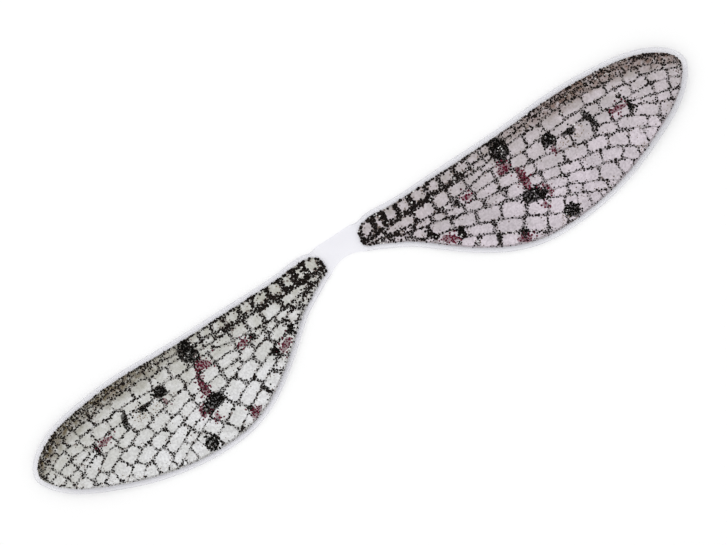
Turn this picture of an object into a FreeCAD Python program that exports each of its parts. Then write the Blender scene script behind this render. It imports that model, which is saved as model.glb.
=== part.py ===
"""A pair of printed insect wings for an artificial fly, die-cut from one sheet of film.

Two mirrored wings lie flat, joined by a bare band of the same film that is tied down on a hook shank.
X runs along the span, Y from the trailing edge towards the leading edge and Z up through the film.
The origin is on the underside of the tie band, at its middle. All lengths are in millimetres.
"""

import FreeCAD
import Part

import math
import os

from FreeCAD import Vector

doc = FreeCAD.newDocument("PrintedWingPair")

# ---------------------------------------------------------------------------------------------
# Driving dimensions
# ---------------------------------------------------------------------------------------------

SIZES = [
    ("print_length", 24.0, "printed wing, root cap to tip"),
    ("print_chord", 7.65, "printed wing, leading edge to trailing edge"),
    ("root_setback", 1.5, "middle of the band to the printed root cap"),
    ("rim_width", 0.35, "clear film left outside the print"),
    ("bare_root", 0.10, "bare film between the wing's cut and its print"),
    ("film_thick", 0.10, "film"),
    ("wash_thick", 0.03, "pale wash printed under the veins"),
    ("net_thick", 0.04, "raised vein ink"),
    ("spot_rise", 0.03, "dark spots above the veins"),
    ("fleck_rise", 0.02, "red flecks above the veins"),
    ("tint_rise", 0.01, "tan tint above the veins"),
    ("tie_length", 1.0, "part of the band that the thread holds"),
    ("band_waist", 0.70, "band's lower edge below the span line, at the middle"),
    ("band_flare", 1.15, "band's lower edge below the span line, at the wing"),
    ("band_top", 0.95, "band's upper edge above the span line"),
    ("fold_gap", 0.02, "clearance at each fold"),
    ("twist_gap", 0.02, "clearance between neck and wing"),
    ("edge_line", 0.13, "printed line round the wing"),
    ("ladder_root", 0.40, "rungs of the leading ladder, at the root"),
    ("ladder_tip", 0.15, "rungs of the leading ladder, at the tip"),
    ("rung_root", 0.30, "cross veins at the root"),
    ("rung_tip", 0.12, "cross veins at the tip"),
]

sheet = doc.addObject("Spreadsheet::Sheet", "Sizes")
for row, (alias, value, meaning) in enumerate(SIZES, start=1):
    sheet.set(f"A{row}", alias)
    sheet.set(f"B{row}", str(value))
    sheet.set(f"C{row}", meaning)
    sheet.setAlias(f"B{row}", alias)
doc.recompute()


def size(alias):
    """A driving dimension, in millimetres."""
    return float(getattr(sheet, alias))


# ---------------------------------------------------------------------------------------------
# The wing's artwork, on a master 24.4 long and 7.65 deep, x from the middle of the band
# ---------------------------------------------------------------------------------------------

ART_ROOT, ART_TIP, ART_CHORD = 1.5, 25.9, 7.65

LEADING_EDGE = [(1.9, 0.50), (2.4, 0.61), (4, 0.58), (8, 0.54), (12, 0.56), (15, 0.65), (18, 0.75),
                (20, 0.63), (22, 0.40), (23.6, 0.02), (24.9, -0.60), (25.6, -1.20)]
WING_TIP = (25.9, -1.95)
TRAILING_EDGE = [(1.6, -0.86), (2.1, -1.06), (3, -1.52), (4.2, -2.16), (5.4, -3.05), (7, -4.35),
                 (8.6, -5.45), (10.2, -6.28), (12, -6.80), (14, -6.93), (16, -6.80), (18, -6.45),
                 (20, -5.87), (21.8, -5.15), (23.6, -4.30), (24.8, -3.48), (25.6, -2.60)]
ROOT_CAP = (1.5, -0.15)

# Long veins from the leading edge down: name, width at the root, width at the tip, points.
LONG_VEINS = [
    ("subcosta", 0.30, 0.13, [(1.6, -0.50), (3, -0.52), (5, -0.45), (7, -0.38), (9, -0.33), (10, -0.25),
                              (11, -0.13), (12, -0.10), (13.2, 0.05), (14, 0.10), (15, 0.28),
                              (17, 0.38), (18.5, 0.34), (20, 0.22), (22, 0.02), (23.5, -0.26),
                              (24.5, -0.62), (25.5, -1.20)]),
    ("radius", 0.16, 0.11, [(1.7, -0.62), (5, -0.54), (8, -0.50), (9.5, -0.57), (10.5, -0.60),
                            (12, -0.52), (13.2, -0.38), (14.2, -0.28), (15.6, -0.33), (16.4, -0.14),
                            (18.3, -0.15), (20, -0.28), (21, -0.43), (22, -0.44), (23, -0.62),
                            (24, -0.96), (25.5, -1.75)]),
    ("sector", 0.14, 0.10, [(2, -0.92), (3, -1.02), (4.2, -1.20), (5.5, -1.38), (7, -1.50), (8, -1.40),
                            (9.6, -1.30), (10.6, -1.10), (12, -1.06), (13, -1.20), (14, -1.27),
                            (15, -1.15), (17, -1.06), (18.2, -0.97), (20, -1.08), (21.4, -1.07),
                            (22.5, -1.33), (23.3, -1.32), (24.2, -1.55), (25.5, -2.15)]),
    ("sector_fork", 0.11, 0.10, [(15.25, -1.15), (15.9, -1.50), (17.1, -1.76), (18, -1.62),
                                 (19.2, -1.84), (20.5, -1.96), (22.5, -2.02), (23.4, -2.02),
                                 (24.2, -2.28), (25.5, -2.65)]),
    ("outer_fork", 0.10, 0.10, [(21.6, -2.25), (22.4, -2.50), (23.3, -2.80), (24.2, -3.08), (25.3, -3.42)]),
    ("inner_fork", 0.10, 0.10, [(21.6, -2.70), (22.2, -2.85), (23.2, -3.38), (23.9, -3.58), (24.6, -4.05)]),
    ("media_tip", 0.10, 0.10, [(18.85, -2.46), (19.4, -2.60), (20.2, -2.88), (20.9, -2.98), (21.6, -3.38),
                               (22.4, -3.90), (23.2, -4.45)]),
    ("media", 0.11, 0.10, [(9.55, -1.90), (10.4, -1.80), (11.4, -1.84), (13, -2.00), (14.2, -2.17),
                           (15.2, -2.32), (16.4, -2.62), (17.8, -2.95), (18.6, -3.06), (19.3, -3.38),
                           (20.9, -3.88), (22.2, -4.62), (23.2, -5.2)]),
    ("cubitus", 0.12, 0.10, [(7.25, -1.75), (8.4, -2.03), (9.4, -2.17), (9.9, -2.44), (10.8, -2.58),
                             (12, -2.71), (14, -3.00), (15.3, -3.27), (16.8, -3.68), (18.2, -3.93),
                             (19.2, -4.26), (20.2, -4.85), (21.2, -5.5), (22, -6.0)]),
    ("spot_vein", 0.11, 0.10, [(11.3, -3.48), (12.4, -3.60), (14, -3.66), (15, -3.94), (16.3, -4.29),
                               (17.4, -4.70), (18.4, -4.95), (19.4, -5.32), (20.2, -5.9), (21, -6.4)]),
    ("spot_fork", 0.10, 0.10, [(13.5, -4.30), (14.2, -4.45), (15.2, -4.72), (16.2, -5.18), (17.2, -5.62),
                               (18.3, -6.28), (19, -6.8)]),
    ("anal", 0.14, 0.10, [(2.2, -1.05), (3, -1.14), (4.1, -1.50), (5.2, -1.79), (6.8, -2.13),
                          (8.4, -2.60), (9.4, -2.92), (10.6, -3.27), (11.6, -3.62), (12.5, -4.05),
                          (13.4, -4.58), (14.6, -5.18), (15.8, -5.70), (17, -6.28), (18, -6.9)]),
    ("anal_fork", 0.16, 0.11, [(4.3, -2.05), (5, -2.43), (5.7, -2.76), (7, -3.00), (8.4, -3.56),
                               (9.8, -4.08), (11.2, -4.72), (12.4, -5.28), (13.3, -5.78), (14.3, -6.25),
                               (15.4, -7.0)]),
    ("hind_vein", 0.14, 0.11, [(7.5, -3.50), (8, -4.15), (8.8, -4.52), (9.8, -5.08), (10.8, -5.58),
                               (12, -6.33), (13, -7.1)]),
]

# Cross veins, by their place along the wing: a row above each long vein, then one above the trailing edge.
RUNGS = [
    [2.8, 3.6, 4.65, 5.75, 7.05, 8.1, 9.3, 10.35, 11.35, 12.15, 13.15, 14.25, 15.5, 16.15, 16.8, 17.35,
     17.95, 18.6, 19.2, 19.85, 20.6, 21.2, 21.8, 22.4, 23.0, 23.6, 24.2],
    [8.3, 9.0, 9.7, 10.45, 11.4, 12.1, 13.2, 14.9, 15.95, 17.0, 17.9, 18.85, 19.65, 20.7, 21.45, 22.4,
     23.1, 23.8, 24.5],
    [3.1, 5.4, 6.95, 8.15, 9.5, 10.9, 12.05, 13.05, 14.4, 15.9, 17.4, 19.05, 20.75, 22.1, 23.15, 24.05,
     24.8],
    [15.95, 18.6, 19.85, 21.25, 22.2, 23.4, 24.75],
    [23.4, 24.45],
    [23.3, 24.2, 25.0],
    [20.1, 21.4, 23.05, 24.1],
    [11.4, 12.7, 13.95, 15.25, 15.95, 17.1, 18.65, 20.1, 21.95, 22.75],
    [8.3, 9.55, 11.3, 12.85, 14.0, 16.05, 17.6, 19.05, 20.3, 21.35],
    [11.4, 12.75, 14.05, 15.3, 16.7, 18.1, 19.45, 20.4],
    [14.0, 15.4, 17.4, 18.7, 19.75],
    [3.6, 4.95, 6.3, 7.25, 8.55, 9.85, 11.3, 12.05, 13.5, 15.05, 15.95, 17.5, 18.6],
    [4.5, 5.75, 7.3, 8.9, 10.5, 12.05, 13.4, 14.35, 15.1, 15.95, 16.75],
    [9.55, 11.3, 12.7, 14.0, 15.0],
    [3.3, 4.3, 5.75, 7.3, 8.1, 9.4, 10.9, 12.2],
]

# Blots of ink: middle x, middle y, half length, half width, tilt in degrees.
DARK_SPOTS = [(12.62, -0.25, 0.95, 0.56, 88), (12.95, -4.08, 0.88, 0.46, -16),
              (14.52, -6.28, 0.55, 0.46, -35), (15.68, -1.52, 0.48, 0.42, 10),
              (17.15, -1.80, 0.55, 0.20, -8), (18.80, -1.85, 0.72, 0.22, 110),
              (8.25, -1.74, 0.30, 0.21, 0), (7.52, -3.45, 0.40, 0.20, 75),
              (5.82, -2.72, 0.36, 0.20, 125), (21.50, -2.52, 0.46, 0.16, 100),
              (9.42, -5.18, 0.36, 0.17, 60), (11.05, -5.75, 0.28, 0.20, 30)]
RED_FLECKS = [(12.15, -1.52, 0.52, 0.34, 20), (12.95, -2.72, 0.85, 0.26, 94),
              (13.92, -4.20, 0.42, 0.24, 100), (6.62, -3.45, 0.60, 0.24, -32),
              (10.85, -6.15, 0.52, 0.26, -22), (13.25, -5.02, 0.30, 0.17, 90),
              (15.70, -2.22, 0.28, 0.14, 90), (20.75, -2.28, 0.60, 0.18, -4),
              (9.02, -1.76, 0.36, 0.19, -12)]
TAN_FLECKS = [(18.50, 0.25, 0.52, 0.26, -6), (5.50, 0.10, 0.30, 0.15, 90),
              (17.70, -2.20, 0.48, 0.26, 0), (16.45, -2.15, 0.40, 0.18, 0),
              (19.65, 0.30, 0.36, 0.18, 0), (14.90, 0.08, 0.30, 0.14, 90),
              (20.75, -5.22, 0.34, 0.16, -20), (23.70, -3.98, 0.30, 0.14, 35),
              (13.80, -6.62, 0.36, 0.14, 0)]

CORNER_POWER = 5.0       # how square a printed cell is: 2 is an ellipse
CELL_POINTS = 20         # points round a cell
LEAST_CELL = 0.20        # a cell shorter than this is filled with ink
LEAST_HEIGHT = 0.13      # a cell lower than this is filled with ink
ROW_STEP = 0.02          # step that finds where a row narrows
TAPER_START, TAPER_END = 4.0, 15.0   # veins thin down between these places
SLOPE_STEP = 0.15        # reach over which a row's slope is taken
BLOT_POINTS = 14         # points round a blot

STRETCH_X = size("print_length") / (ART_TIP - ART_ROOT)
STRETCH_Y = size("print_chord") / ART_CHORD


def placed(x, y, z=0.0):
    """A point of the artwork, on the real wing."""
    return Vector(size("root_setback") + (x - ART_ROOT) * STRETCH_X, y * STRETCH_Y, z)


def height_at(points, x):
    """The height at x of the smooth curve through points, which run in x; straight on past its ends."""
    if x <= points[0][0]:
        (xa, ya), (xb, yb) = points[0], points[1]
        return ya + (yb - ya) * (x - xa) / (xb - xa)
    if x >= points[-1][0]:
        (xa, ya), (xb, yb) = points[-2], points[-1]
        return yb + (yb - ya) * (x - xb) / (xb - xa)
    i = max(k for k in range(len(points) - 1) if points[k][0] <= x)

    def slope(k):
        a, b = points[max(k - 1, 0)], points[min(k + 1, len(points) - 1)]
        return (b[1] - a[1]) / (b[0] - a[0])

    (xa, ya), (xb, yb) = points[i], points[i + 1]
    run = xb - xa
    t = (x - xa) / run
    return (ya * (1 + 2 * t) * (1 - t) ** 2 + yb * t * t * (3 - 2 * t)
            + slope(i) * run * t * (1 - t) ** 2 - slope(i + 1) * run * t * t * (1 - t))


def tapered(root_value, tip_value, x, start=TAPER_START, end=TAPER_END):
    """A width that goes from its root value to its tip value along the wing."""
    share = min(max((x - start) / (end - start), 0.0), 1.0)
    return root_value + (tip_value - root_value) * share


def vein_edge(k, x, side):
    """The upper (side 1) or lower (side -1) edge of long vein k at x; of the leading edge where k is -1."""
    if k < 0:
        return height_at(LEADING_EDGE, x)
    _, root_width, tip_width, points = LONG_VEINS[k]
    return height_at(points, x) + side * tapered(root_width, tip_width, x) / 2


def vein_above(k, x):
    """The nearest long vein above vein k that has begun at x, or -1 for the leading edge."""
    above = k - 1
    while above >= 0 and x < LONG_VEINS[above][3][0][0]:
        above -= 1
    return above


def strip(k, above, x):
    """Lower and upper edge, at x, of the clear strip between vein k and the vein above it."""
    hem = height_at(TRAILING_EDGE, x) + size("edge_line")
    brim = height_at(LEADING_EDGE, x) - size("edge_line")
    low = max(vein_edge(k, x, 1), hem) if k < len(LONG_VEINS) else hem
    return low, min(vein_edge(above, x, -1), brim)


def strip_slope(k, above, x):
    """Slope of the strip's middle line at x."""
    return (sum(strip(k, above, x + SLOPE_STEP)) - sum(strip(k, above, x - SLOPE_STEP))) / 4 / SLOPE_STEP


def cell_wire(k, start, end):
    """Closed outline of the cell above vein k between two places, square to the veins; None if too small."""
    above = vein_above(k, (start + end) / 2)

    def is_low(x):
        low, high = strip(k, above, x)
        return high - low < LEAST_HEIGHT

    while end - start > LEAST_CELL and is_low(end):
        end -= ROW_STEP
    while end - start > LEAST_CELL and is_low(start):
        start += ROW_STEP
    if end - start <= LEAST_CELL:
        return None
    lean_start, lean_end = strip_slope(k, above, start), strip_slope(k, above, end)
    points = []
    for i in range(CELL_POINTS):
        angle = 2 * math.pi * (i + 0.5) / CELL_POINTS
        across = math.copysign(abs(math.cos(angle)) ** (2 / CORNER_POWER), math.cos(angle))
        upwards = math.copysign(abs(math.sin(angle)) ** (2 / CORNER_POWER), math.sin(angle))
        x = (start + end) / 2 + across * (end - start) / 2
        low, high = strip(k, above, x)
        lean = (lean_start + lean_end) / 2 + across * (lean_end - lean_start) / 2
        x -= lean * upwards * (high - low) / 2
        low, high = strip(k, above, x)
        points.append(placed(x, (low + high) / 2 + upwards * (high - low) / 2))
    curve = Part.BSplineCurve()
    curve.interpolate(Points=points, PeriodicFlag=True)
    return Part.Wire(curve.toShape())


def cell_wires():
    """Outlines of all the clear cells between the veins."""
    wires = []
    for k, rungs in enumerate(RUNGS):
        kind = "ladder" if k == 0 else "rung"
        first = LONG_VEINS[k][3][0][0] if k < len(LONG_VEINS) else TRAILING_EDGE[0][0]
        stops = [first] + rungs + [LEADING_EDGE[-1][0]]
        for left, right in zip(stops, stops[1:]):
            start = left + tapered(size(kind + "_root"), size(kind + "_tip"), left) / 2
            end = right - tapered(size(kind + "_root"), size(kind + "_tip"), right) / 2
            wire = cell_wire(k, start, end)
            if wire is not None:
                wires.append(wire)
    return wires


def offset_points(points, distance):
    """The points moved out to the left of their own direction of travel."""
    moved = []
    for i, point in enumerate(points):
        ahead = points[min(i + 1, len(points) - 1)] - points[max(i - 1, 0)]
        moved.append(point + Vector(-ahead.y, ahead.x, 0).normalize() * distance)
    return moved


def print_points():
    """Points of the printed outline from the root's leading corner round the tip to its trailing corner."""
    return [placed(*p) for p in LEADING_EDGE + [WING_TIP] + TRAILING_EDGE[::-1]]


def print_edges():
    """The printed outline: one spline round the wing and the arc of the root cap."""
    points = print_points()
    around = Part.BSplineCurve()
    around.interpolate(points)
    cap = Part.Arc(points[-1], placed(*ROOT_CAP), points[0])
    return [around, cap]


def film_edges():
    """The cut outline of the wing's film, from the neck round the wing and back."""
    root_x = size("root_setback") - size("bare_root")
    around = offset_points(print_points(), size("rim_width"))
    around = [p for p in around if p.x > root_x + size("bare_root")]
    points = [Vector(root_x, size("band_top"), 0)] + around + [Vector(root_x, -size("band_flare"), 0)]
    curve = Part.BSplineCurve()
    curve.interpolate(points)
    return [curve, Part.LineSegment(points[-1], points[0])]


# ---------------------------------------------------------------------------------------------
# Helpers that make the document's objects
# ---------------------------------------------------------------------------------------------

FILM_TOP = "Sizes.film_thick"
WASH_TOP = "(Sizes.film_thick + Sizes.wash_thick)"
nodes = []


def is_node(item, label):
    """Names an object as a piece that is written out."""
    item.Label = label
    nodes.append(item)
    return item


def padded_body(label, edges, thickness, base=None):
    """A body with one sketch of these edges, padded upwards."""
    body = doc.addObject("PartDesign::Body", label)
    outline = body.newObject("Sketcher::SketchObject", label + "_outline")
    plane = [f for f in body.Origin.OriginFeatures if f.Role == "XY_Plane"][0]
    outline.AttachmentSupport = [(plane, "")]
    outline.MapMode = "FlatFace"
    for edge in edges:
        outline.addGeometry(edge, False)
    pad = body.newObject("PartDesign::Pad", label + "_pad")
    pad.Profile = outline
    pad.setExpression("Length", thickness)
    if base:
        body.setExpression("Placement.Base.z", base)
    return body


def extruded(label, face, thickness, base):
    """A flat shape pushed upwards by a bound thickness from a bound height."""
    flat = doc.addObject("Part::Feature", label + "_flat")
    flat.Shape = face
    item = doc.addObject("Part::Extrusion", label)
    item.Base = flat
    item.DirMode = "Custom"
    item.Dir = Vector(0, 0, 1)
    item.Solid = True
    item.setExpression("LengthFwd", thickness)
    item.setExpression("Placement.Base.z", base)
    return item


def combined(kind, label, base, tool):
    """A Part boolean of two objects."""
    item = doc.addObject(kind, label)
    item.Base = base
    item.Tool = tool
    return item


def box(label, **bound):
    """A Part::Box whose sizes and place are expressions."""
    item = doc.addObject("Part::Box", label)
    for name, expression in bound.items():
        item.setExpression(name.replace("_at", "Placement.Base."), expression)
    return item


def blot_face(x, y, half_length, half_width, tilt):
    """An uneven round blot of ink."""
    turn = math.radians(tilt)
    points = []
    for i in range(BLOT_POINTS):
        angle = 2 * math.pi * i / BLOT_POINTS
        swell = 1 + 0.10 * math.sin(3 * angle + 5 * x) + 0.07 * math.sin(5 * angle + 3 * y)
        along, across = half_length * swell * math.cos(angle), half_width * swell * math.sin(angle)
        points.append(placed(x + along * math.cos(turn) - across * math.sin(turn),
                             y + along * math.sin(turn) + across * math.cos(turn)))
    curve = Part.BSplineCurve()
    curve.interpolate(Points=points, PeriodicFlag=True)
    return Part.Face(Part.Wire(curve.toShape()))


def blots(label, spots, rise, inside, around):
    """Blots of ink that fill the cells and stand a little above the veins, clear of the other inks."""
    faces = [blot_face(*spot) for spot in spots]
    joined = faces[0].fuse(faces[1:]).removeSplitter()
    item = extruded(label + "_blank", joined, f"Sizes.net_thick + Sizes.{rise}", WASH_TOP)
    item = combined("Part::Common", label + "_inside", item, inside)
    for i, tool in enumerate(around):
        last = i == len(around) - 1
        item = combined("Part::Cut", label if last else f"{label}_cut_{i}", item, tool)
    return item


# ---------------------------------------------------------------------------------------------
# The band between the wings: the part that is tied down, and a neck each side that folds and twists
# ---------------------------------------------------------------------------------------------

neck_end = size("root_setback") - size("bare_root") - size("twist_gap")
flare, waist, top = -size("band_flare"), -size("band_waist"), size("band_top")
band = padded_body("band_blank", [
    Part.LineSegment(Vector(neck_end, flare, 0), Vector(neck_end, top, 0)),
    Part.LineSegment(Vector(neck_end, top, 0), Vector(-neck_end, top, 0)),
    Part.LineSegment(Vector(-neck_end, top, 0), Vector(-neck_end, flare, 0)),
    Part.Arc(Vector(-neck_end, flare, 0), Vector(0, waist, 0), Vector(neck_end, flare, 0)),
], "Sizes.film_thick")

WIDE = "4 * (Sizes.band_top + Sizes.band_flare)"     # wider than the band, for the tools that cut it
FOLD_X = "Sizes.tie_length / 2 + Sizes.fold_gap + Sizes.film_thick / 2"

tie_block = box("tie_block", Length="Sizes.tie_length", Width=WIDE, Height="Sizes.film_thick",
                _atx="-Sizes.tie_length / 2", _aty=f"-({WIDE}) / 2")
is_node(combined("Part::Common", "tie_band", band, tie_block), "tie_band")

fold_round = doc.addObject("Part::Cylinder", "fold_round")
fold_round.Placement.Rotation = FreeCAD.Rotation(Vector(1, 0, 0), -90)
fold_round.setExpression("Radius", "Sizes.film_thick / 2")
fold_round.setExpression("Height", WIDE)
fold_round.setExpression("Placement.Base.x", FOLD_X)
fold_round.setExpression("Placement.Base.y", f"-({WIDE}) / 2")
fold_round.setExpression("Placement.Base.z", "Sizes.film_thick / 2")
neck_bar = box("neck_bar", Length="Sizes.root_setback", Width=WIDE, Height="Sizes.film_thick",
               _atx=FOLD_X, _aty=f"-({WIDE}) / 2")
neck_blank = combined("Part::Fuse", "neck_blank", neck_bar, fold_round)
right_neck = is_node(combined("Part::Common", "right_neck", band, neck_blank), "right_neck")

# ---------------------------------------------------------------------------------------------
# The right wing: its film, then each colour of ink from the film up
# ---------------------------------------------------------------------------------------------

right = [right_neck]
film = is_node(padded_body("right_wing_film", film_edges(), "Sizes.film_thick"), "right_wing_film")
wash = padded_body("right_cell_wash", print_edges(), "Sizes.wash_thick", FILM_TOP)
is_node(wash, "right_cell_wash")

outline = Part.Wire([edge.toShape() for edge in print_edges()])
net_face = Part.makeFace([outline] + cell_wires(), "Part::FaceMakerCheese")
net = is_node(extruded("right_vein_net", net_face, "Sizes.net_thick", WASH_TOP), "right_vein_net")

inside = extruded("print_area", Part.Face(outline), "Sizes.net_thick + Sizes.spot_rise", WASH_TOP)
spots = is_node(blots("right_dark_spots", DARK_SPOTS, "spot_rise", inside, [net]), "right_dark_spots")
flecks = blots("right_red_flecks", RED_FLECKS, "fleck_rise", inside, [net, spots])
is_node(flecks, "right_red_flecks")
tint = blots("right_tan_tint", TAN_FLECKS, "tint_rise", inside, [net, spots, flecks])
is_node(tint, "right_tan_tint")
right += [film, wash, net, spots, flecks, tint]

# ---------------------------------------------------------------------------------------------
# The left wing is the right one in a mirror
# ---------------------------------------------------------------------------------------------

for source in right:
    mirrored = doc.addObject("Part::Mirroring", source.Label.replace("right_", "left_"))
    mirrored.Source = source
    mirrored.Base = Vector(0, 0, 0)
    mirrored.Normal = Vector(1, 0, 0)
    is_node(mirrored, source.Label.replace("right_", "left_"))

doc.recompute()

# ---------------------------------------------------------------------------------------------
# Checks, then one STEP file for each piece
# ---------------------------------------------------------------------------------------------

for item in doc.Objects:
    if "Invalid" in item.State or "Error" in item.State:
        raise RuntimeError(f"{item.Label} failed: {item.State}")
for item in nodes:
    if item.Shape.isNull() or not item.Shape.isValid() or not item.Shape.Solids:
        raise RuntimeError(f"{item.Label} has no valid solid")

os.makedirs("parts", exist_ok=True)
for item in nodes:
    item.Shape.exportStep(f"parts/{item.Label}.step")
    box_of = item.Shape.BoundBox
    print(f"{item.Label:18s} {len(item.Shape.Solids):3d} solids {item.Shape.Volume:9.4f} mm3 "
          f"{box_of.XLength:7.3f} x {box_of.YLength:6.3f} x {box_of.ZLength:6.3f}")
print("cells", len(net_face.Wires) - 1)
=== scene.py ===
# %% [markdown]
# # A pair of printed film wings
#
# This lesson finishes a mirrored pair of insect wings for an artificial fly. The real thing is one
# sheet of thin clear plastic film. Both wings are printed on it with pale lilac ink and near-black
# veins made of tiny dots, and it is die-cut with a narrow clear rim. A bare band joins the wings.
#
# The engineering model is loaded first and nothing in it is moved. It holds flat layers of the right
# size in the right place. What Blender adds is what makes it look like printed film: the gentle lift
# of a sheet that never lies quite flat, ink that is a raster of small raised dots, and soft light.

# %% Load the engineering model and note its size
import math

import bpy
import numpy as np
from mathutils import Matrix, Vector
from mathutils.bvhtree import BVHTree


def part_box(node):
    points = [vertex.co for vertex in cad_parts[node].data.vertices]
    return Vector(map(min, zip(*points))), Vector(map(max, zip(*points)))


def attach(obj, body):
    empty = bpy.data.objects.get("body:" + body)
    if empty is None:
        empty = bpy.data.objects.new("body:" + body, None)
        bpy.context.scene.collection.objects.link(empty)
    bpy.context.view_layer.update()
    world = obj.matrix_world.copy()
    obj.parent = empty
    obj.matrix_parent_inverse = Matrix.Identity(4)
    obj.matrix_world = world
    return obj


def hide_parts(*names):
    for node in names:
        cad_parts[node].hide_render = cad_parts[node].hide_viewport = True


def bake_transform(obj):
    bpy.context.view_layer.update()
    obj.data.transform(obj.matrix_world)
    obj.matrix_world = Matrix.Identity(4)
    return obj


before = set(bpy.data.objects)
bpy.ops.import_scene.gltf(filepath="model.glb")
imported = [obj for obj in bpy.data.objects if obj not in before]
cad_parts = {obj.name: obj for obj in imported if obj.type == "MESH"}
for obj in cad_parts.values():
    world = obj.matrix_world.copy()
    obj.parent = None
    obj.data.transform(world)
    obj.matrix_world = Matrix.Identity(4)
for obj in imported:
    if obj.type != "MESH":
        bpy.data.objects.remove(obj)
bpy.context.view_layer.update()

MM = 0.001

# %% [markdown]
# ## Where things are
#
# X runs along the span, Y towards the leading edges and Z up out of the print. The heights of the film
# and the wash come from the engineering model's own layers, so a change there carries through to here.
#
# The film is one sheet, but it moves: each wing folds up about a line across the band and twists about
# its own length. So the film is made as a row of strips that meet edge to edge. The strips that cross a
# bending line are not attached to any body here, and the others ride on one body.

# %% Heights of the layers and places of the bending lines
SIDES = {"right": 1, "left": -1}
FILM_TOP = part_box("right_wing_film")[1].z
WASH_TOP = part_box("right_cell_wash")[1].z
TIE_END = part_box("tie_band")[1].x
NECK_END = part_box("right_neck")[1].x
PRINT_START, PRINT_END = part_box("right_cell_wash")[0].x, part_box("right_cell_wash")[1].x
FOLD_END = TIE_END + 0.45 * MM       # the film is straight again here after a fold
WEB_END = PRINT_START - 0.05 * MM    # and here after a twist
print("film and wash tops, mm:", [round(z / MM, 3) for z in (FILM_TOP, WASH_TOP)])
print("strips meet at, mm:", [round(x / MM, 3) for x in (TIE_END, FOLD_END, WEB_END)])

# %% [markdown]
# ## How the sheet lies
#
# Thin film is never dead flat. The roots lie on the table, the middle of each wing arches a little
# over it, and the tip lifts. One function gives that lift at any point, and every layer of ink uses
# it, so the layers can't part from each other. It is zero near the band, where the strips bend.


# %% Lift of the sheet above the table, in mm
ARCH_HEIGHT, ARCH_MIDDLE, ARCH_REACH = 0.15, -2.6, 4.6     # the arch across the chord
CURL_HEIGHT, CURL_START, CURL_END = 0.22, 15.0, 26.0       # the tip's lift, along the span
RIPPLE_HEIGHT = 0.02
FLAT_END, FREE_START = 1.8, 8.0      # flat up to here from the middle, and lifting fully from here


def ease(value, start, end):
    """0 before start, 1 after end, smooth between."""
    t = np.clip((np.asarray(value, float) - start) / (end - start), 0.0, 1.0)
    return t * t * (3 - 2 * t)


def lift(x, y):
    """Height that the sheet stands above flat at a point, in metres."""
    span, chord = np.abs(x) / MM, np.asarray(y, float) / MM
    arch = ARCH_HEIGHT * np.clip(1 - ((chord - ARCH_MIDDLE) / ARCH_REACH) ** 2, 0.0, 1.0)
    curl = CURL_HEIGHT * ease(span, CURL_START, CURL_END)
    ripple = RIPPLE_HEIGHT * (1 + np.sin(0.8 * span + np.sign(x) + 0.5 * chord))
    return (arch + curl + ripple) * ease(span, FLAT_END, FREE_START) * MM


print("lift at the tip, mm:", round(float(lift(PRINT_END, -0.002)) / MM, 3))

# %% [markdown]
# ## Making a piece
#
# Every piece is points and faces, which become a mesh with a material. A piece that rides on one body
# and stands for engineering nodes then names them. Two small helpers do these two steps.


# %% Helpers that turn points into pieces
def mesh_object(name, points, faces, material, smooth=True):
    """A new object in the scene from points in metres."""
    mesh = bpy.data.meshes.new(name)
    mesh.from_pydata([tuple(map(float, p)) for p in points], [], faces)
    mesh.validate()
    mesh.materials.append(material)
    if smooth:
        mesh.shade_smooth()
    else:
        mesh.shade_flat()
    piece = bpy.data.objects.new(name, mesh)
    bpy.context.collection.objects.link(piece)
    return piece


def belongs(piece, body, slot, *nodes):
    """The piece rides on a body and stands for these nodes; the slot is not used."""
    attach(piece, body)
    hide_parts(*nodes)


# %% [markdown]
# ## Materials
#
# Each finish is a small node tree in object space, so it keeps its scale in millimetres and needs no
# image. The film is clear plastic with a faint lavender cast and a little haze. A printed ink is
# never one flat tone: it thins and thickens from place to place, so each ink mixes two tones with noise.


# %% Helpers for node materials
def tree_of(name, roughness, gloss=0.5):
    """A new node material with the shader's plain values set on its own sockets."""
    material = bpy.data.materials.new(name)
    material.use_nodes = True
    shader = material.node_tree.nodes["Principled BSDF"]
    shader.inputs["Roughness"].default_value = roughness
    shader.inputs["Specular IOR Level"].default_value = gloss
    return material, shader


def noise_of(material, size_mm, detail=3.0, seed=0.0):
    """A noise in object space whose features are about this large; returns its Fac socket."""
    nodes, links = material.node_tree.nodes, material.node_tree.links
    place = nodes.new("ShaderNodeTexCoord")
    shift = nodes.new("ShaderNodeMapping")
    shift.inputs["Location"].default_value = (seed, seed * 0.7, seed * 0.3)
    noise = nodes.new("ShaderNodeTexNoise")
    noise.inputs["Scale"].default_value = 1.0 / (size_mm * MM)
    noise.inputs["Detail"].default_value = detail
    links.new(place.outputs["Object"], shift.inputs["Vector"])
    links.new(shift.outputs["Vector"], noise.inputs["Vector"])
    return noise.outputs["Fac"]


def ramp_of(material, value, *stops):
    """Colours along a value: stops are (place, (r, g, b)). Returns the colour socket."""
    ramp = material.node_tree.nodes.new("ShaderNodeValToRGB")
    while len(ramp.color_ramp.elements) < len(stops):
        ramp.color_ramp.elements.new(0.5)
    for element, (place, colour) in zip(ramp.color_ramp.elements, stops):
        element.position = place
        element.color = (*colour, 1.0)
    material.node_tree.links.new(value, ramp.inputs["Fac"])
    return ramp.outputs["Color"]


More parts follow.
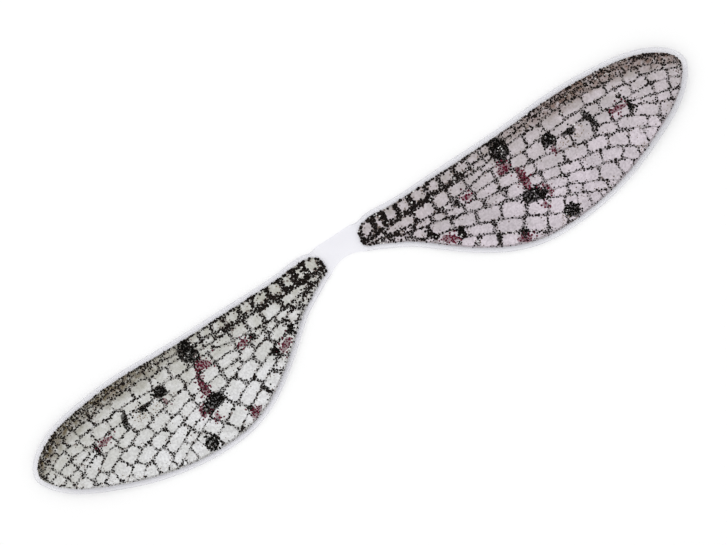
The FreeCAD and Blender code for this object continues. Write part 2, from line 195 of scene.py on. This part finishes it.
def mixed(material, factor, first, second, blend="MIX"):
    """Two colours mixed by a factor, each a socket or a plain value. Returns the colour socket."""
    mix = material.node_tree.nodes.new("ShaderNodeMix")
    mix.data_type, mix.blend_type = "RGBA", blend
    for socket, value in ((mix.inputs[0], factor), (mix.inputs[6], first), (mix.inputs[7], second)):
        if isinstance(value, bpy.types.NodeSocket):
            material.node_tree.links.new(value, socket)
        else:
            socket.default_value = value if isinstance(value, float) else (*value, 1.0)
    return mix.outputs[2]


def bumped(material, shader, value, height_mm):
    """The surface rises with a value, up to a height."""
    bump = material.node_tree.nodes.new("ShaderNodeBump")
    bump.inputs["Distance"].default_value = height_mm * MM
    bump.inputs["Strength"].default_value = 0.6
    material.node_tree.links.new(value, bump.inputs["Height"])
    material.node_tree.links.new(bump.outputs["Normal"], shader.inputs["Normal"])


# %% [markdown]
# The film's haze is a broad noise between two pale lavenders. Its alpha is a plain value, which lets the
# table show through and survives export. A fine bump stands for the frosting that takes ink.
# The cut edge gets a second, greyer and fuller tone, which paints the shade where light bends at the cut.


# %% Film
def film_material(name, alpha, deep, pale):
    """Clear film, lightly frosted, between two tones."""
    material, shader = tree_of(name, 0.28)
    shader.inputs["Alpha"].default_value = alpha
    tone = ramp_of(material, noise_of(material, 2.5), (0.35, deep), (0.65, pale))
    material.node_tree.links.new(tone, shader.inputs["Base Color"])
    bumped(material, shader, noise_of(material, 0.12, detail=4.0), 0.004)
    return material


film = film_material("clear_film", 0.115, (0.66, 0.65, 0.78), (0.74, 0.73, 0.85))
# grey tones that paint the shade where light bends at the cut edge
edge_shade_film = film_material("cut_edge_painted_shade", 0.15, (0.42, 0.42, 0.44), (0.56, 0.56, 0.58))
print("films:", film.name, "and", edge_shade_film.name)

# %% [markdown]
# The wash under the veins is pale lilac-grey. Two noises mottle it: a broad one, as where ink pools,
# and a fine one with the grain of the raster. Along the leading edge it turns olive, and towards the
# tip that edge is printed brown. Both need the distance from the leading edge, which is straight at
# first and then bends away like a parabola, so a few math nodes straighten it. The left wing's wash
# came out cooler and lighter than the right one's, so the tones are arguments.


# %% Distance from the leading edge, inside a material
BEND_START = 19.5 * MM       # the leading edge is straight up to here
BEND_DROP = 49.0             # and then falls by this times the square of the way on, in metres


def math_of(material, operation, first, second=0.0):
    """One math node; each input is a socket or a plain value. Returns its socket."""
    node = material.node_tree.nodes.new("ShaderNodeMath")
    node.operation = operation
    for socket, value in zip(node.inputs, (first, second)):
        if isinstance(value, bpy.types.NodeSocket):
            material.node_tree.links.new(value, socket)
        else:
            socket.default_value = value
    return node.outputs[0]


def share_of(material, value, start, end):
    """0 where the value is at start, 1 at end, straight between."""
    node = material.node_tree.nodes.new("ShaderNodeMapRange")
    node.inputs["From Min"].default_value = start
    node.inputs["From Max"].default_value = end
    material.node_tree.links.new(value, node.inputs["Value"])
    return node.outputs["Result"]


def span_and_height(material):
    """Distance out along the span, and height across the chord with the leading edge straightened."""
    nodes, links = material.node_tree.nodes, material.node_tree.links
    place = nodes.new("ShaderNodeTexCoord")
    split = nodes.new("ShaderNodeSeparateXYZ")
    links.new(place.outputs["Object"], split.inputs["Vector"])
    span = math_of(material, "ABSOLUTE", split.outputs["X"])
    past = math_of(material, "MAXIMUM", math_of(material, "SUBTRACT", span, BEND_START))
    drop = math_of(material, "MULTIPLY", math_of(material, "MULTIPLY", past, past), BEND_DROP)
    return span, math_of(material, "ADD", split.outputs["Y"], drop)


# %% Pale wash
def wash_material(name, pale, deep, olive, brown):
    """Thin mottled wash, olive along the leading edge and brown along its outer half."""
    material, shader = tree_of(name, 0.5, gloss=0.3)
    shader.inputs["Alpha"].default_value = 0.88
    pools = ramp_of(material, noise_of(material, 1.3, seed=0.4), (0.36, deep), (0.62, pale))
    grain = noise_of(material, 0.15, detail=2.0, seed=0.9)
    speck = ramp_of(material, grain, (0.34, (0.80, 0.79, 0.80)), (0.62, (1.04, 1.04, 1.04)))
    body = mixed(material, 1.0, pools, speck, "MULTIPLY")
    span, height = span_and_height(material)
    patches = noise_of(material, 0.5, seed=2.0)
    near_edge = math_of(material, "MULTIPLY", share_of(material, height, -4.6 * MM, 0.6 * MM),
                        share_of(material, patches, 0.15, 0.80))
    tinted = mixed(material, near_edge, body, olive)
    outer = math_of(material, "MULTIPLY", share_of(material, height, -0.75 * MM, 0.15 * MM),
                    share_of(material, span, 10.0 * MM, 18.0 * MM))
    smears = share_of(material, noise_of(material, 0.35, seed=5.0), 0.25, 0.6)
    smudge = math_of(material, "MULTIPLY", outer, smears)
    colour = mixed(material, smudge, tinted, brown)
    material.node_tree.links.new(colour, shader.inputs["Base Color"])
    bumped(material, shader, grain, 0.006)
    return material


wash = {
    "right": wash_material("lilac_wash", (0.71, 0.64, 0.695), (0.58, 0.53, 0.565), (0.36, 0.33, 0.30),
                           (0.19, 0.115, 0.09)),
    "left": wash_material("grey_lilac_wash", (0.81, 0.815, 0.825), (0.68, 0.685, 0.67), (0.37, 0.36, 0.29),
                          (0.11, 0.082, 0.035)),
}
print("washes:", sorted(m.name for m in wash.values()))

# %% [markdown]
# The four inks are laid down twice: thin, as the stain between the dots, and full, as the dots
# themselves. The stain lets the wash show through. The dots are solid and matt, and their tone changes
# every tenth of a millimetre, so from dot to dot. Two more tones serve the dots alone: the brown of the
# fringe along the veins, and the pale grey of the places where the ink skipped, which also paints small
# highlights on the dark ink.


# %% Inks
def ink_material(name, dark, light, alpha=1.0):
    """Printed ink between two tones; thin ink has an alpha below 1."""
    material, shader = tree_of(name, 0.7, gloss=0.02)
    shader.inputs["Alpha"].default_value = alpha
    tone = ramp_of(material, noise_of(material, 0.11, detail=1.0, seed=1.7), (0.32, dark), (0.68, light))
    material.node_tree.links.new(tone, shader.inputs["Base Color"])
    return material


stains = {
    "vein": ink_material("vein_stain", (0.05, 0.042, 0.04), (0.16, 0.135, 0.13), 0.23),
    "spot": ink_material("spot_stain", (0.004, 0.004, 0.003), (0.020, 0.018, 0.014), 0.55),
    "red": ink_material("rose_stain", (0.10, 0.020, 0.034), (0.25, 0.075, 0.105), 0.42),
    "tan": ink_material("tan_stain", (0.36, 0.30, 0.24), (0.46, 0.41, 0.34), 0.08),
}
dots = {
    "vein": ink_material("vein_dots", (0.001, 0.001, 0.001), (0.022, 0.016, 0.014)),
    "spot": ink_material("spot_dots", (0.001, 0.001, 0.001), (0.005, 0.004, 0.003)),
    "red": ink_material("rose_dots", (0.016, 0.003, 0.005), (0.17, 0.018, 0.042)),
    "tan": ink_material("tan_dots", (0.16, 0.12, 0.085), (0.36, 0.29, 0.23)),
    "fringe": ink_material("fringe_dots", (0.06, 0.044, 0.036), (0.26, 0.205, 0.185)),
    # pale dots: bare film where the ink skipped, and painted highlights on the dark ink and along the left
    # trailing edge
    "gap_and_glint": ink_material("pale_gaps_and_painted_glints", (0.45, 0.44, 0.42), (0.85, 0.85, 0.84)),
}
print("inks:", len(stains) + len(dots))

# %% [markdown]
# ## The clear film
#
# A die-cut wing is a flat shape with square edges. The engineering mesh has the right outline but only
# long thin triangles inside it, which can't bend. So the outline is read from that mesh as two lines,
# the upper and the lower edge along the span, and the sheet between them is laid out as a grid.


# %% Outline of a layer, as its lower and upper edge along the span
SAME_PLACE = 0.001 * MM              # points closer than this to an end are taken as on it
SLACK = 0.000001 * MM                # puts the two end points on both lines


def edges_of(node):
    """The node's outline seen from above: (span places, lower edge) and (span places, upper edge)."""
    points = np.array([v.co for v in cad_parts[node].data.vertices])
    x, y = np.abs(points[:, 0]), points[:, 1]
    root, tip = x.min(), x.max()
    root_y = y[x < root + SAME_PLACE].mean()
    tip_y = y[x > tip - SAME_PLACE].mean()
    middle = root_y + (tip_y - root_y) * (x - root) / (tip - root)
    lines = []
    for chosen in (y <= middle + SLACK, y >= middle - SLACK):
        order = np.argsort(x[chosen])
        lines.append((x[chosen][order], y[chosen][order]))
    return lines


def chord_at(lines, x):
    """Lower and upper edge at a place along the span."""
    return [float(np.interp(x, *line)) for line in lines]


film_edges = edges_of("right_wing_film")
print("film chord at mid span, mm:", [round(y / MM, 2) for y in chord_at(film_edges, 13 * MM)])


# %% Sheet between two edges
def stations(start, end, count, to_tip):
    """Places along the span, even or closer together towards a rounded tip."""
    t = np.linspace(0.0, 1.0, count)
    return start + (end - start) * (np.sin(t * math.pi / 2) if to_tip else t)


def sheet_points(places, chord, across, low, high, side):
    """A slab: a grid on top and below, and walls along both long edges.

    Its ends stay open, because each meets another strip or comes to a point.
    """
    share = (1 - np.cos(np.linspace(0, math.pi, across))) / 2
    grid = []
    for x in places:
        lower, upper = chord(x)
        grid.extend((side * x, lower + (upper - lower) * s) for s in share)
    flat = np.array(grid)
    rise = lift(flat[:, 0], flat[:, 1])
    top = np.column_stack([flat, high + rise])
    bottom = np.column_stack([flat, low + rise])
    rows, total = len(places), len(flat)
    faces = []
    for i in range(rows - 1):
        for j in range(across - 1):
            a, b = i * across + j, (i + 1) * across + j
            faces.append((a, b, b + 1, a + 1))
            faces.append((a + 1 + total, b + 1 + total, b + total, a + total))
        for j, turn in ((0, 1), (across - 1, -1)):
            a, b = i * across + j, (i + 1) * across + j
            faces.append((a, a + total, b + total, b)[::turn])
    if side < 0:
        faces = [face[::-1] for face in faces]
    return np.vstack([top, bottom]), faces


print("stations towards a tip:", [round(float(t), 2) for t in stations(0.0, 1.0, 6, to_tip=True)])

# %% [markdown]
# The band is the sheet between the two wings. Its lower edge is an arc, so its chord is read from the
# engineering band and neck. The strip that is tied down rides on the tie; the fold strip and the twist
# strip each span one joint and are not attached to a body. The strips share their end places, so no
# seam shows.


# %% Band: tied strip, fold strips and twist strips
band_meshes = [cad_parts[node].data for node in ("tie_band", "right_neck")]
band_points = np.array([v.co for mesh in band_meshes for v in mesh.vertices])
band_lines = []
for chosen in (band_points[:, 1] < 0, band_points[:, 1] > 0):
    order = np.argsort(np.abs(band_points[chosen, 0]))
    band_lines.append((np.abs(band_points[chosen, 0])[order], band_points[chosen, 1][order]))


def band_chord(x):
    """Lower and upper edge of the bare film at a place along the span."""
    return chord_at(band_lines if abs(x) < NECK_END else film_edges, abs(x))


STRIP_ROWS, STRIP_ACROSS = 14, 12    # points along and across one strip
STRIP_START = TIE_END - 0.1 * MM     # the tied strip ends here and the fold strips start


def film_strip(name, start, end, side, count=STRIP_ROWS):
    """A strip of the bare film between two places out from the middle."""
    places = stations(start, end, count, to_tip=False)
    points, faces = sheet_points(places, band_chord, STRIP_ACROSS, 0.0, FILM_TOP, side)
    return mesh_object(name, points, faces, film)


tie_strip = film_strip("tie_strip", -STRIP_START, STRIP_START, 1, STRIP_ROWS + 1)
belongs(tie_strip, "tie", "film", "tie_band")

for side, sign in SIDES.items():
    fold = film_strip(f"{side}_fold_strip", STRIP_START, FOLD_END, sign)
    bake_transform(fold)
    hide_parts(f"{side}_neck")
    twist = film_strip(f"{side}_twist_strip", FOLD_END, WEB_END, sign)
    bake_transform(twist)
print("band strips:", 1 + 2 * len(SIDES))


# %% Wing blades
BLADE_ROWS, BLADE_ACROSS = 150, 34   # points along and across one blade


def wing_chord(x):
    """Lower and upper edge of the wing's film."""
    return chord_at(film_edges, x)


film_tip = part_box("right_wing_film")[1].x
for side, sign in SIDES.items():
    places = stations(WEB_END, film_tip, BLADE_ROWS, to_tip=True)
    points, faces = sheet_points(places, wing_chord, BLADE_ACROSS, 0.0, FILM_TOP, sign)
    blade = mesh_object(f"{side}_blade", points, faces, film)
    belongs(blade, f"{side}_wing", "film", f"{side}_wing_film")
print("blade length, mm:", round((film_tip - WEB_END) / MM, 2))

# %% [markdown]
# The die leaves a fine raised burr along its cut, and light bends there, so the edge of a clear wing
# reads as a thin grey line. Here that line is painted shade: a narrow closed bead of grey tone that
# follows the outline from the root round the tip and back, set into the film's upper face.


# %% Burr along the cut
BURR_ROWS = 120                      # points along each edge
BURR_WIDTH, BURR_DEPTH, BURR_HEIGHT = 0.055 * MM, 0.03 * MM, 0.008 * MM
BURR_LOW, BURR_HIGH = FILM_TOP - BURR_DEPTH, FILM_TOP + BURR_HEIGHT


def burr(name, side):
    """A flat closed bead just inside the blade's outline."""
    places = stations(WEB_END, film_tip, BURR_ROWS, to_tip=True)
    lower = [(x, wing_chord(x)[0]) for x in places]
    upper = [(x, wing_chord(x)[1]) for x in places]
    outer = np.array(lower + upper[-2::-1])
    along = np.gradient(outer, axis=0)
    inward = np.column_stack([-along[:, 1], along[:, 0]]) / np.linalg.norm(along, axis=1)[:, None]
    inner = outer + BURR_WIDTH * inward
    vertices = []
    for line, height in ((outer, BURR_LOW), (outer, BURR_HIGH), (inner, BURR_HIGH), (inner, BURR_LOW)):
        x, y = side * line[:, 0], line[:, 1]
        vertices.extend(np.column_stack([x, y, height + lift(x, y)]))
    count = len(outer)
    faces = [tuple(k * count for k in range(4)), tuple(k * count + count - 1 for k in (3, 2, 1, 0))]
    for k in range(4):
        a, b = k * count, (k + 1) % 4 * count
        faces.extend((a + i, a + i + 1, b + i + 1, b + i) for i in range(count - 1))
    if side < 0:
        faces = [face[::-1] for face in faces]
    return mesh_object(name, vertices, faces, edge_shade_film, smooth=False)


for side, sign in SIDES.items():
    bead = burr(f"{side}_cut_edge", sign)
    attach(bead, f"{side}_wing")
    print(f"{side} burr: {len(bead.data.vertices)} points")

# %% [markdown]
# ## The printed layers
#
# The wash is one more sheet, inside the print's outline. The stains of the veins and blots follow the
# engineering layers' outlines exactly: their meshes are copied, thinned to a stain's height, and lifted
# with the sheet. All the inks soak into the frosted face together, so the stains reach from just inside
# the film up through the wash, and the veins show on the underside of a raised wing too.


# %% Wash
wash_lines = edges_of("right_cell_wash")


def wash_chord(x):
    """Lower and upper edge of the wash."""
    return chord_at(wash_lines, x)


for side, sign in SIDES.items():
    share = (1 - np.cos(np.linspace(0, math.pi, BLADE_ROWS))) / 2
    places = PRINT_START + (PRINT_END - PRINT_START) * share
    points, faces = sheet_points(places, wash_chord, BLADE_ACROSS, FILM_TOP, WASH_TOP, sign)
    layer = mesh_object(f"{side}_wash", points, faces, wash[side])
    belongs(layer, f"{side}_wing", "pale_wash", f"{side}_cell_wash")
print("wash length, mm:", round((PRINT_END - PRINT_START) / MM, 2))

# %% Stains under the dots
INKS = {"vein": "vein_net", "spot": "dark_spots", "red": "red_flecks", "tan": "tan_tint"}
SLOTS = {"vein": "vein_ink", "spot": "spot_ink", "red": "red_ink", "tan": "tan_ink"}
STAIN_RISE = 0.004 * MM              # how far a stain stands above the wash
INK_FOOT = FILM_TOP - 0.004 * MM     # how deep the ink reaches into the film
ABOVE_WASH = WASH_TOP + 0.001 * MM   # points of a layer higher than this are its top

for side, sign in SIDES.items():
    for ink, node in INKS.items():
        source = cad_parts[f"{side}_{node}"].data
        points = np.array([v.co for v in source.vertices])
        points[:, 2] = np.where(points[:, 2] > ABOVE_WASH, WASH_TOP + STAIN_RISE, INK_FOOT)
        points[:, 2] += lift(points[:, 0], points[:, 1])
        faces = [tuple(face.vertices) for face in source.polygons]
        stain = mesh_object(f"{side}_{ink}_stain", points, faces, stains[ink], smooth=False)
        belongs(stain, f"{side}_wing", SLOTS[ink], f"{side}_{node}")
print("stains:", len(SIDES) * len(INKS))

# %% [markdown]
# ## The raster of dots
#
# The printer laid each vein down as a row of round dots about a tenth of a millimetre across. Drawing
# them one by one would take days, and a texture would have no relief. Instead, points are set out on
# an even triangular raster, each is shaken a little, and those that lie over an ink layer are kept. A
# ray straight down tells which layer a point lies over. Each kept point becomes a small domed dot.


# %% Raster points over an ink layer
DOT_PITCH = 0.122 * MM
DOT_SHAKE = 0.034 * MM


def raster(rng):
    """Points of the shaken raster over one wing, as (span place, chord place)."""
    low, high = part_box("right_cell_wash")
    rows = np.arange(low.y, high.y, DOT_PITCH * math.sqrt(3) / 2)
    columns = np.arange(low.x, high.x, DOT_PITCH)
    x, y = np.meshgrid(columns, rows)
    x = x + (np.arange(len(rows)) % 2)[:, None] * DOT_PITCH / 2
    points = np.column_stack([x.ravel(), y.ravel()])
    return points + rng.normal(0.0, DOT_SHAKE, points.shape)


def over(node, points, side):
    """Which of the points lie over a node, by a ray straight down at each."""
    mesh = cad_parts[node].data
    tree = BVHTree.FromPolygons([v.co for v in mesh.vertices], [tuple(f.vertices) for f in mesh.polygons])
    down, top = Vector((0, 0, -1)), 1.0 * MM
    return np.array([tree.ray_cast(Vector((side * x, y, top)), down)[0] is not None for x, y in points])


print("raster pitch, mm:", round(DOT_PITCH / MM, 3))

# %% Dots at the kept points
DOT_SIDES = 6
DOT_HEIGHT = 0.022 * MM              # of the dome above the stain
UNEVEN = (0.82, 1.16)                # a dot's corners lie between these shares of its radius


def dome_dots(points, radii, side, rng, name, material):
    """A short column of ink with a domed top at each point, all in one mesh."""
    count = len(points)
    turn = rng.uniform(0, 2 * math.pi, (count, 1)) + np.arange(DOT_SIDES) * 2 * math.pi / DOT_SIDES
    reach = radii[:, None] * rng.uniform(*UNEVEN, (count, DOT_SIDES))
    x, y = side * points[:, 0], points[:, 1]
    ring_x, ring_y = x[:, None] + reach * np.cos(turn), y[:, None] + reach * np.sin(turn)
    rise = lift(x, y)
    rings = [np.stack([ring_x, ring_y, np.repeat((height + rise)[:, None], DOT_SIDES, axis=1)], axis=2)
             for height in (INK_FOOT, WASH_TOP + STAIN_RISE)]
    crown = np.column_stack([x, y, WASH_TOP + STAIN_RISE + DOT_HEIGHT + rise])
    vertices = np.concatenate([rings[0].reshape(-1, 3), rings[1].reshape(-1, 3), crown])
    above, top = count * DOT_SIDES, 2 * count * DOT_SIDES
    faces = []
    for i in range(count):
        ring = [i * DOT_SIDES + k for k in range(DOT_SIDES)]
        faces.append(tuple(ring[::-1]))
        for a, b in zip(ring, ring[1:] + ring[:1]):
            faces.append((a, b, b + above, a + above))
            faces.append((a + above, b + above, top + i))
    return mesh_object(name, vertices, faces, material)


print("faces of one dot:", 1 + 2 * DOT_SIDES)

# %% [markdown]
# How full a layer is printed decides how it reads: a blot is nearly solid, a vein is a broken line, and
# Two more kinds of dot finish the look. Small brown ones fringe the veins, and here and there the ink
# skipped, which leaves a pale spot. The same pale dots also paint small highlights on the dark ink.

# %% How each ink is printed
PRINTING = {                                       # layer, share kept, scatter and radii in mm
    "vein": ("vein_net", 0.98, 0.040, 0.048, 0.078),
    "fringe": ("vein_net", 0.70, 0.105, 0.028, 0.052),
    "spot": ("dark_spots", 0.98, 0.140, 0.056, 0.086),
    "red": ("red_flecks", 0.98, 0.180, 0.054, 0.082),
    "tan": ("tan_tint", 0.75, 0.260, 0.030, 0.050),
    # pale dots where the ink skipped, which also paint small highlights
    "gap_and_glint": ("cell_wash", 1.0, 0.0, 0.030, 0.056),
}
# The pale dots at these places also paint small highlights on the dark ink.
GAP_AND_GLINT_SHARE = 0.05                     # share of the raster where the ink skipped, twice that in the band
print("kinds of dot:", sorted(PRINTING))

# %% [markdown]
# The print isn't even over the wing. The ink is laid on more heavily near the root, along the row of
# square cells behind the leading edge, and in slow waves from place to place. The outer half of the
# leading edge has a dark speckled band, a few blots came out thin, and the line round the trailing edge
# is broken. Small functions say where each of these holds.

# %% Where the print differs
WAVE, ROOT_WEIGHT, LADDER_WEIGHT, HEM_LOSS = 0.22, 0.28, 0.30, 0.35     # shares of the ink
BAND_FADE = 7.0                      # the dark band grows over this length, mm
BAND_FULL, BAND_EDGE = 0.35, 1.05    # and is full, then gone, this far in from the leading edge, mm
FAINT_REACH = 0.5                    # how far a thin blot reaches, mm


def inside_edges(points):
    """How far each point is in from the trailing edge and from the leading edge, in mm."""
    edges = np.array([wash_chord(x) for x in points[:, 0]])
    return (points[:, 1] - edges[:, 0]) / MM, (edges[:, 1] - points[:, 1]) / MM


def costal_band(points, start):
    """1 in the dark band behind the outer half of the leading edge, 0 away from it."""
    grown = ease(points[:, 0] / MM, start, start + BAND_FADE)
    return grown * (1 - ease(inside_edges(points)[1], BAND_FULL, BAND_EDGE))


def near_spots(points, spots):
    """Which points lie near any of these places."""
    x, y = points[:, 0] / MM, points[:, 1] / MM
    return sum(((x - a) ** 2 + (y - b) ** 2 < FAINT_REACH ** 2) for a, b in spots) > 0


def weight(points):
    """How heavily the ink is laid on: more at the root and in the ladder, less along the trailing edge."""
    x, y = points[:, 0] / MM, points[:, 1] / MM
    above_hem, below_brim = inside_edges(points)
    waves = WAVE * np.sin(2.9 * x + 1.3 * np.sin(2.1 * y)) * np.cos(3.3 * y + 0.7 * x)
    root = ROOT_WEIGHT * (1 - ease(x, 3.0, 9.0))
    ladder = LADDER_WEIGHT * (1 - ease(x, 8.0, 13.0)) * (1 - ease(below_brim, 1.0, 1.5))
    hem = HEM_LOSS * (1 - ease(above_hem, 0.10, 0.22)) * ease(x, 2.0, 2.6)
    return 1 + waves + root + ladder - hem


middle_of_wing = np.array([[13.0, -3.0]]) * MM
print("weight in the middle of a wing:", round(float(weight(middle_of_wing)[0]), 2))

# %% [markdown]
# The two wings weren't printed quite alike. On the left one the dark band starts further out and more of
# the blots are thin. Pale dots along the outer part of its trailing edge paint highlights there.

# %% How the two wings differ
BAND_START = {"right": 11.0, "left": 12.5}         # the dark band behind the leading edge, mm out
FAINT = {                                          # blots that came out thin, mm along and across
    "right": [(9.42, -5.18)],
    "left": [(9.42, -5.18), (11.05, -5.75), (21.50, -2.52), (21.45, -2.10)],
}
HEM_GLINT_SHARE = {"right": 0.0, "left": 0.40}            # share of pale dots that paint highlights along the trailing edge
BAND_SPECKLE = {"right": 0.36, "left": 0.40}       # share of black specks in the dark band
BAND_BROWN = {"right": 0.46, "left": 0.52}         # and of brown ones
HEM_BREAK = 0.5                                    # share of the vein dots missing along the hem
FAINT_LOSS = 0.6                                   # share of the dots missing from a thin blot
HEM_WIDTH, HEM_FROM = 0.14, 2.2 * MM               # the broken line: how deep, mm, and from what span
HEM_GLINT_WIDTH, HEM_GLINT_FROM = 0.75, 15.5 * MM            # the painted highlight dots: the same two
print("thin blots:", {side: len(spots) for side, spots in FAINT.items()})

# %% [markdown]
# Each wing has its own seed, so its dots fall in the same places every time, and the two wings still
# differ. The kinds of dot are printed in turn, because the brown fringe keeps off the black dots and a
# skipped place takes no other ink.

# %% Print both wings
FIRST_SEED = 40
for number, (side, sign) in enumerate(SIDES.items()):
    rng = np.random.default_rng(FIRST_SEED + number)
    points = raster(rng)
    points = points[over(f"{side}_cell_wash", points, sign)]
    above_hem = inside_edges(points)[0]
    on_ink = over(f"{side}_vein_net", points, sign) | over(f"{side}_dark_spots", points, sign)
    in_band = costal_band(points, BAND_START[side])
    chance = rng.random((5, len(points)))
    speckled = chance[0] < BAND_SPECKLE[side] * in_band
    browned = chance[1] < BAND_BROWN[side] * in_band
    # where the ink skipped; the pale dots here also paint small highlights on the dark ink
    gaps_and_glints = chance[2] < GAP_AND_GLINT_SHARE * (1 + in_band)
    broken_hem = (chance[3] < HEM_BREAK) & (above_hem < HEM_WIDTH) & (points[:, 0] > HEM_FROM)
    # pale dots that paint highlights along the outer trailing edge
    hem_glints = (chance[3] < HEM_GLINT_SHARE[side]) & (above_hem < HEM_GLINT_WIDTH) & (points[:, 0] > HEM_GLINT_FROM)
    thin = (chance[4] < FAINT_LOSS) & near_spots(points, FAINT[side])
    laid = weight(points)
    for ink, (node, share, scatter, least, most) in PRINTING.items():
        tested = points + rng.normal(0.0, scatter * MM, points.shape) * laid[:, None]
        kept = over(f"{side}_{node}", tested, sign) & (rng.random(len(points)) < share)
        if ink == "vein":
            kept = (kept & ~broken_hem) | speckled
            inked = kept
        elif ink == "fringe":
            kept = (kept | browned) & ~inked
        elif ink == "spot":
            kept &= ~thin
        elif ink == "gap_and_glint":
            kept &= (gaps_and_glints & (inked | on_ink)) | (hem_glints & ~inked)
        if ink != "gap_and_glint":
            kept &= ~gaps_and_glints
        radii = rng.uniform(least, most, int(kept.sum())) * laid[kept] * MM
        print_dots = dome_dots(points[kept], radii, sign, rng, f"{side}_{ink}_dots", dots[ink])
        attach(print_dots, f"{side}_wing")
        print(f"{side} {ink}: {kept.sum()} dots")

# %% [markdown]
# ## Table, light and camera
#
# The wings lie on a plain white table. A bright, even surround takes all hard shadow away, and one
# large soft lamp from the upper left gives the film and the dots a little shape. The camera looks
# almost straight down, turned so that the span runs from the lower left to the upper right.


# %% White table
def table_material():
    """Plain white with the least mottling."""
    material, shader = tree_of("white_table", 0.6)
    cloud = noise_of(material, 40.0)
    tone = ramp_of(material, cloud, (0.3, (0.94, 0.94, 0.94)), (0.7, (0.955, 0.955, 0.955)))
    material.node_tree.links.new(tone, shader.inputs["Base Color"])
    return material


TABLE_HALF, TABLE_TOP = 3.0, -0.03 * MM
corners = [(-1, -1), (1, -1), (1, 1), (-1, 1)]
table_points = [(x * TABLE_HALF, y * TABLE_HALF, TABLE_TOP) for x, y in corners]
table = mesh_object("table", table_points, [(0, 1, 2, 3)], table_material())
print("table width, m:", 2 * TABLE_HALF)

# %% Light
SURROUND = 0.94                      # strength of the even light from all round
world = bpy.data.worlds.new("surround")
world.use_nodes = True
world.node_tree.nodes["Background"].inputs["Color"].default_value = (1.0, 1.0, 1.0, 1.0)
world.node_tree.nodes["Background"].inputs["Strength"].default_value = SURROUND
bpy.context.scene.world = world

ROLL = math.radians(33.0)            # the span's rise across the picture
TILT = math.radians(5.0)             # the camera leans this far towards the right wing
towards_camera = Vector((math.sin(TILT), 0, math.cos(TILT)))
span_seen, chord_seen = Vector((math.cos(TILT), 0, -math.sin(TILT))), Vector((0, 1, 0))
picture_right = math.cos(ROLL) * span_seen - math.sin(ROLL) * chord_seen
picture_up = math.sin(ROLL) * span_seen + math.cos(ROLL) * chord_seen


def lamp(name, place, size, power):
    """A square soft lamp aimed at the wings; place is (right, up, above) in metres."""
    data = bpy.data.lights.new(name, "AREA")
    data.size, data.energy = size, power
    item = bpy.data.objects.new(name, data)
    item.location = picture_right * place[0] + picture_up * place[1] + Vector((0, 0, place[2]))
    item.rotation_mode = "QUATERNION"
    item.rotation_quaternion = (-item.location).to_track_quat("-Z", "Y")
    bpy.context.collection.objects.link(item)


KEY_PLACE, KEY_SIZE, KEY_POWER = (-0.25, 0.30, 0.45), 0.25, 0.65
lamp("key", KEY_PLACE, KEY_SIZE, KEY_POWER)
print("key lamp, watts:", KEY_POWER)

# %% Camera
LENS, SENSOR = 100.0, 36.0
PICTURE_WIDTH = 48.50 * MM           # what the picture takes in, at the table
AIM = Vector((0.44, -2.22, 0)) * MM  # middle of the picture
camera_data = bpy.data.cameras.new("camera")
camera_data.lens, camera_data.sensor_width = LENS, SENSOR
camera_data.clip_start, camera_data.clip_end = 0.01, 20.0
camera = bpy.data.objects.new("camera", camera_data)
turned = Matrix((picture_right, picture_up, towards_camera)).transposed().to_4x4()
camera.matrix_world = Matrix.Translation(AIM + towards_camera * PICTURE_WIDTH * LENS / SENSOR) @ turned
bpy.context.collection.objects.link(camera)
bpy.context.scene.camera = camera
bpy.context.scene.view_settings.view_transform = "Standard"
print("camera height, mm:", round(camera.matrix_world.translation.z / MM, 1))
